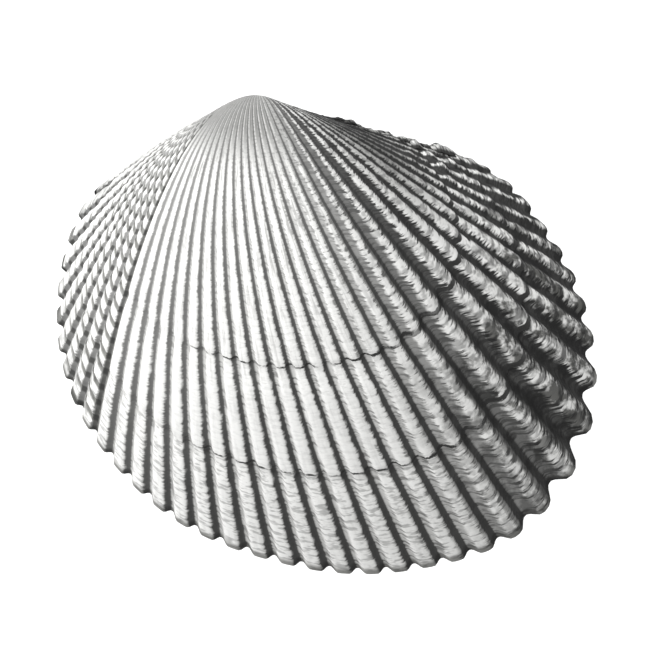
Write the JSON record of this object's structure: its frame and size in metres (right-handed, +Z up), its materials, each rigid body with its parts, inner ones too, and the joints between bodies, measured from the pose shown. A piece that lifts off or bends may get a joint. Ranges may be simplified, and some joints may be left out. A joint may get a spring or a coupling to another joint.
{
  "type": "cockle shell",
  "caption": "Domed half shell of a cockle with ribs fanning out from the beak, a scalloped rim and a hollow underside, lying on its rim.",
  "frame": {"origin": "on the surface that the rim rests on, under the middle of the valve's box", "axes": "+X to the rear end, +Y to the beak and hinge, +Z up through the dome"},
  "size_m": [0.064, 0.0574, 0.0193],
  "materials": {
    "shell": "chalky, with smooth rib crests and dark furrows"
  },
  "bodies": {
    "root": {"valve": "shell"}
  },
  "joints": []
}
